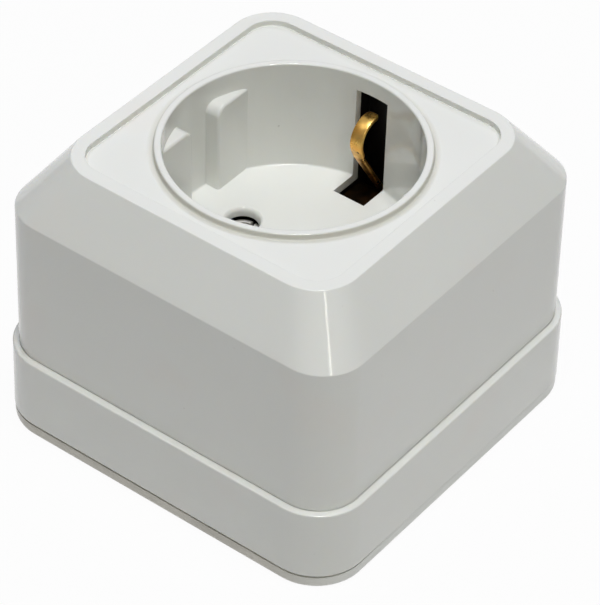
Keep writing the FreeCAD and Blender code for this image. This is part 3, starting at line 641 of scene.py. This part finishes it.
def add_depth(finish, weight, reach):
    """Light that wanders under the skin, reach in millimetres."""
    finish.shader.inputs["Subsurface Weight"].default_value = weight
    finish.shader.inputs["Subsurface Radius"].default_value = DEPTH_BY_COLOUR
    finish.shader.inputs["Subsurface Scale"].default_value = reach * MM


def off_centre(finish, low, high):
    """Zero to one between two distances from the upright middle line, in millimetres."""
    flat = finish.tree.nodes.new("ShaderNodeVectorMath")
    flat.operation = "MULTIPLY"
    finish.link(finish.place, flat.inputs[0])
    flat.inputs[1].default_value = (1, 1, 0)
    reach = finish.tree.nodes.new("ShaderNodeVectorMath")
    reach.operation = "LENGTH"
    finish.link(flat.outputs["Vector"], reach.inputs[0])
    return finish.spread(reach.outputs["Value"], 0.0, 1.0, low * MM, high * MM)


def make_hood_plastic():
    finish = Finish("hood_plastic", 0.48)
    add_coat(finish, HOOD_COAT, 0.1)
    add_depth(finish, 0.15, 0.8)
    body = finish.ramp(finish.noise(28, 3), 0.3, HOOD_DARK, 0.7, HOOD_LIGHT)
    blush = finish.spread(finish.noise(60, 2), 0.0, 0.3, 0.58, 0.74)
    body = finish.mix(blush, body, HOOD_BLUSH)
    # Painted shade: a darker colour and a thinner coat in a ring round the foot of the collar.
    inner, outer = off_centre(finish, *FOOT_RING_FROM), off_centre(finish, *FOOT_RING_TO)
    body = finish.mix(outer, finish.mix(inner, body, FOOT_SHADE), body)
    clear, dull = (HOOD_COAT,) * 3, (FOOT_COAT,) * 3
    finish.feed("Coat Weight", finish.mix(outer, finish.mix(inner, clear, dull), clear))
    speck = finish.spread(finish.noise(900, 1), 0.0, 0.3, 0.82, 0.86)
    finish.feed("Base Color", finish.mix(speck, body, HOOD_SPECK))
    finish.feed("Roughness", finish.spread(finish.noise(90, 4), 0.56, 0.66))
    finish.relief(finish.noise(240, 2), 0.012, 0.1)
    return finish.material


finishes["hood_plastic"] = make_hood_plastic()
print("nodes of the hood plastic:", len(finishes["hood_plastic"].node_tree.nodes))

# %% [markdown]
# The wall plate is made of the same plastic, but daylight has yellowed its front edge, which is
# also painted darker there as shade, while the right side, close under the hood, keeps the hood's
# colour. Two materials would meet in a hard line, so one material blends the two colours along X.

# %% Plate plastic
# Front colours: yellowed, and darker as painted shade.
AGED_SHADED_DARK = tone(204, 200, 189)
AGED_SHADED_LIGHT = tone(222, 218, 207)
FRESH_FROM, FRESH_TO = 22, 33


def along_x(finish, low, high):
    """Zero to one between two places on X, in millimetres."""
    split = finish.tree.nodes.new("ShaderNodeSeparateXYZ")
    finish.link(finish.place, split.inputs[0])
    return finish.spread(split.outputs["X"], 0.0, 1.0, low * MM, high * MM)


def make_plate_plastic():
    finish = Finish("plate_plastic", 0.48)
    add_coat(finish, 0.6, 0.08)
    cloud = finish.noise(120, 4)
    # Yellowing and painted shade on the front, the hood's own colours on the right.
    aged_and_shaded = finish.ramp(cloud, 0.3, AGED_SHADED_DARK, 0.7, AGED_SHADED_LIGHT)
    fresh = finish.ramp(cloud, 0.3, HOOD_DARK, 0.7, HOOD_LIGHT)
    finish.feed("Base Color", finish.mix(along_x(finish, FRESH_FROM, FRESH_TO), aged_and_shaded, fresh))
    finish.feed("Roughness", finish.spread(finish.noise(400, 3), 0.42, 0.56))
    finish.relief(finish.noise(900, 3), 0.012, 0.1)
    return finish.material


finishes["plate_plastic"] = make_plate_plastic()
print("plate plastic, aged:", [round(v, 2) for v in AGED_SHADED_LIGHT])

# %% [markdown]
# The contact carrier is pressed from a dark, heat-proof compound, and the insulating plate under it
# is pressed board. Both are matt and slightly grainy. One function makes both, because they differ
# only in their two colours, their roughness and the size of their grain.

# %% Carrier compound and pressed board


def make_moulded(name, dark, light, roughness, grain):
    finish = Finish(name, roughness)
    finish.feed("Base Color", finish.ramp(finish.noise(120, 4), 0.3, dark, 0.7, light))
    gloss = finish.spread(finish.noise(400, 3), roughness - 0.06, roughness + 0.08)
    finish.feed("Roughness", gloss)
    finish.relief(finish.noise(grain, 3), 0.02, 0.15)
    return finish.material


# Name, darker and lighter colour, roughness, and grain in waves per metre.
MOULDED = [
    ("carrier_plastic", tone(20, 16, 14), tone(34, 29, 25), 0.5, 700),
    ("pressed_board", tone(118, 78, 48), tone(146, 100, 62), 0.7, 500),
]
for name, *values in MOULDED:
    finishes[name] = make_moulded(name, *values)
print("moulded finishes:", [name for name, *_ in MOULDED])

# %% [markdown]
# Contacts, springs, screws, strap and clips are metal: nickelled brass, spring steel, zinced steel,
# brass for the strap and a bright brass for the clips. The strap's colour is darkened almost to black,
# as painted shade where it shows through the windows. A metal shows mostly what it mirrors. A plain
# yellow or grey would look like paint, so the look comes from a tinted reflection with an uneven
# roughness, a fine grain stretched one way, and brown stains on the brass. A small dark spot on the
# clip is painted shade of a pit.

# %% Metals
STAIN = tone(96, 62, 26)
# Painted shade of a small pit on the clip: its colour, its spot, and the inner and outer radius in mm.
PIT_SHADE = tone(50, 26, 8)
CLIP_PIT = (0.43, 15.8, 39.05)
PIT_INNER = 0.16
PIT_OUTER = 0.3
GRAIN_X, GRAIN_Y, GRAIN_Z, GRAIN_NONE = (0.1, 1, 1), (1, 0.1, 1), (1, 1, 0.1), (1, 1, 1)


def near(finish, spot, inner, outer):
    """One inside a small ball round a spot, zero outside it, all in millimetres."""
    node = finish.tree.nodes.new("ShaderNodeVectorMath")
    node.operation = "DISTANCE"
    finish.link(finish.place, node.inputs[0])
    node.inputs[1].default_value = tuple(v * MM for v in spot)
    return finish.spread(node.outputs["Value"], 1.0, 0.0, inner * MM, outer * MM)


def make_metal(name, dark, light, roughness, grain, dirt=0.0, metallic=1.0, pit_shade_spot=None):
    finish = Finish(name, roughness, metallic)
    body = finish.ramp(finish.noise(260, 4), 0.35, dark, 0.65, light)
    stain = finish.spread(finish.noise(420, 5), 0.0, dirt, 0.45, 0.7)
    body = finish.mix(stain, body, STAIN)
    # Painted shade of a pit round the given spot.
    if pit_shade_spot:
        body = finish.mix(near(finish, pit_shade_spot, PIT_INNER, PIT_OUTER), body, PIT_SHADE)
    finish.feed("Base Color", body)
    gloss = finish.spread(finish.noise(700, 3), roughness - 0.05, roughness + 0.14)
    finish.feed("Roughness", gloss)
    finish.relief(finish.noise(1400, 2, grain), 0.008, 0.08)
    return finish.material


# Name, darker and lighter colour, roughness, grain; where needed also stain, metallic share and the spot of
# a painted pit shade.
METALS = [
    ("nickel_contact", tone(236, 232, 222), tone(247, 245, 238), 0.34, GRAIN_Z, 0.0, 0.25),
    ("spring_steel", tone(120, 124, 134), tone(160, 162, 168), 0.3, GRAIN_Z),
    ("zinc_steel", tone(196, 198, 200), tone(222, 222, 220), 0.3, GRAIN_NONE),
    # The strap's colours, almost black, are painted shade where it shows through the windows.
    ("strap_brass", tone(34, 27, 19), tone(50, 40, 27), 0.45, GRAIN_Y, 0.35),
    ("clip_brass", tone(234, 174, 86), tone(254, 212, 122), 0.28, GRAIN_X, 0.4, 1.0, CLIP_PIT),
]
for name, *values in METALS:
    finishes[name] = make_metal(name, *values)
print("metals:", [name for name, *_ in METALS])

# %% [markdown]
# Every piece now gets the finish of its slot. The frame's record names the slot of each CAD piece,
# so no list of pieces is needed here, and a piece that is added later gets its finish too.

# %% Dress the pieces


def dress(piece, slot):
    piece.data.materials.clear()
    piece.data.materials.append(finishes[slot])


for part in frame["record"]["subparts"]:
    dress(nodes[part["node"]], part["material_slot"])
dress(hood, "hood_plastic")
dress(plate_edge, "plate_plastic")
for clip in clips:
    dress(clip, "clip_brass")
print("finishes:", ", ".join(sorted(finishes)))

# %% [markdown]
# The socket lies on a white sheet. More light would turn the sheet white but burn out the pale hood,
# so most of its white is a glow of its own that only the camera, mirrors and glass see. The rest is
# a plain diffuse sheet, which throws light back on the walls and keeps the shadow.

# %% White sheet
SHEET_HALF = 4.0 / MM
SHEET_TONE = 0.76
GLOW_SHARE = 0.95


def math_node(tree, operation, *values):
    """The result of a Math node that is fed by sockets or plain numbers."""
    node = tree.nodes.new("ShaderNodeMath")
    node.operation = operation
    for socket, value in zip(node.inputs, values):
        if isinstance(value, bpy.types.NodeSocket):
            tree.links.new(value, socket)
        else:
            socket.default_value = value
    return node.outputs[0]


def make_sheet_material():
    material = bpy.data.materials.new("white_sheet")
    material.use_nodes = True
    tree = material.node_tree
    tree.nodes.clear()
    output = tree.nodes.new("ShaderNodeOutputMaterial")
    blend = tree.nodes.new("ShaderNodeMixShader")
    diffuse = tree.nodes.new("ShaderNodeBsdfDiffuse")
    glow = tree.nodes.new("ShaderNodeEmission")
    diffuse.inputs["Color"].default_value = (SHEET_TONE, SHEET_TONE, SHEET_TONE, 1)
    glow.inputs["Color"].default_value = (1, 1, 1, 1)
    glow.inputs["Strength"].default_value = 1.0
    rays = tree.nodes.new("ShaderNodeLightPath").outputs
    seen = rays["Is Camera Ray"]
    for ray in ("Is Glossy Ray", "Is Transmission Ray"):
        seen = math_node(tree, "MAXIMUM", seen, rays[ray])
    tree.links.new(math_node(tree, "MULTIPLY", seen, GLOW_SHARE), blend.inputs["Fac"])
    tree.links.new(diffuse.outputs[0], blend.inputs[1])
    tree.links.new(glow.outputs[0], blend.inputs[2])
    tree.links.new(blend.outputs[0], output.inputs["Surface"])
    return material


sheet_corners = [(u * SHEET_HALF, v * SHEET_HALF, 0) for u, v in ((-1, -1), (1, -1), (1, 1), (-1, 1))]
floor = mesh_piece("floor", sheet_corners, [(0, 1, 2, 3)], smooth=False)
floor.data.materials.append(make_sheet_material())
print("sheet:", 2 * SHEET_HALF * MM, "m wide")

# %% [markdown]
# Behind the sheet the world is white to the camera as well. As a lamp it is nearly dark, because an
# even light from all sides would wash out the shading of the walls. Gloss sees it at a third of
# white, which gives the brass and the clear coat something soft to mirror.

# %% World
WORLD_LIGHT = 0.01
WORLD_STRENGTHS = [("Is Camera Ray", 1.0), ("Is Glossy Ray", 0.33), ("Is Transmission Ray", 0.33)]


def make_world():
    world = bpy.data.worlds.new("studio")
    bpy.context.scene.world = world
    world.use_nodes = True
    tree = world.node_tree
    background = tree.nodes["Background"]
    background.inputs["Color"].default_value = (1, 1, 1, 1)
    rays = tree.nodes.new("ShaderNodeLightPath").outputs
    level = WORLD_LIGHT
    for ray, strength in WORLD_STRENGTHS:
        level = math_node(tree, "MULTIPLY_ADD", rays[ray], strength - WORLD_LIGHT, level)
    tree.links.new(level, background.inputs["Strength"])
    return world


world = make_world()
print("world:", world.name)

# %% [markdown]
# Four area lamps light the socket as in the photo, where its top is bright and its walls are
# darker. A picture of a whole room could do it too, but lamps can be set one by one. The overhead
# lamp does most of the work and is kept small, because a wide one would lighten the slopes and
# the walls too much. A large one behind, a thin strip on the right and a small box on the left
# each add a little from their side.

# %% Lamps
LAMP_AIM = Vector((0, 0, 0.03))
# Name, place, width and height in metres, power in watts, colour.
LAMPS = [
    ("overhead", (0.15, -0.095, 1.3), 0.4, 0.4, 11.25, (0.97, 0.98, 1.0)),
    ("back_sheet", (-0.54, 0.72, 0.82), 0.7, 0.7, 2.1, (0.92, 0.92, 1.0)),
    ("right_strip", (0.83, -0.52, 0.56), 0.05, 0.9, 1.5, (1.0, 0.98, 0.86)),
    ("left_box", (-0.41, -0.33, 0.77), 0.2, 0.2, 0.4, (1.0, 1.0, 0.97)),
]


def soft_lamp(name, place, width, height, power, colour):
    """A rectangular lamp that shines from its place to the common aim."""
    data = bpy.data.lights.new(name, "AREA")
    data.shape = "RECTANGLE"
    data.color = colour
    data.size = width
    data.size_y = height
    data.energy = power
    lamp = bpy.data.objects.new(name, data)
    bpy.context.scene.collection.objects.link(lamp)
    lamp.location = place
    lamp.rotation_euler = (LAMP_AIM - Vector(place)).to_track_quat("-Z", "Y").to_euler()


for lamp in LAMPS:
    soft_lamp(*lamp)
bpy.context.scene.view_settings.view_transform = "Standard"
print("lamps:", ", ".join(lamp[0] for lamp in LAMPS))
